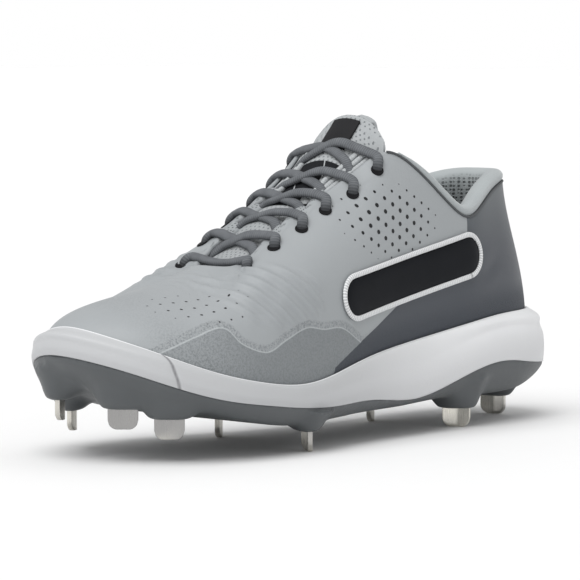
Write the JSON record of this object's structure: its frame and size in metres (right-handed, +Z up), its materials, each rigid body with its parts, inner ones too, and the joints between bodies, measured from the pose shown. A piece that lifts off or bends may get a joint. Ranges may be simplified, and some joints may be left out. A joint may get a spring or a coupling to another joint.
{
  "type": "baseball cleat",
  "caption": "Low-cut baseball cleat for the left foot with a light-grey upper, laces, a white midsole and a grey plate with folded steel spikes.",
  "frame": {"origin": "middle of the shoe's footprint, on the floor that its spikes stand on", "axes": "+Z up, -Y towards the toe, +Y towards the heel, +X towards the outer side of the foot"},
  "size_m": [0.1024, 0.294, 0.1424],
  "materials": {
    "plate": "satin moulded",
    "midsole": "matt white foam",
    "lining": "soft mesh",
    "upper": "matt synthetic",
    "tongue": "mesh",
    "label": "woven, bare",
    "lace": "woven oval cord",
    "side_bar": "matt synthetic with a white edge",
    "spike": "folded sheet"
  },
  "bodies": {
    "root": {"outsole": "plate", "midsole": "midsole", "insole": "lining", "upper": "upper", "tongue": "tongue", "tongue_label": "label", "collar": "lining", "lace_bar": "lace", "lace_cross_1": "lace", "lace_cross_2": "lace", "lace_cross_3": "lace", "lace_cross_4": "lace", "lace_cross_5": "lace", "side_bar_lateral": "side_bar", "side_bar_medial": "side_bar", "spike_1": "spike", "spike_2": "spike", "spike_3": "spike", "spike_4": "spike", "spike_5": "spike", "spike_6": "spike", "spike_7": "spike", "spike_8": "spike", "spike_9": "spike"}
  },
  "joints": []
}
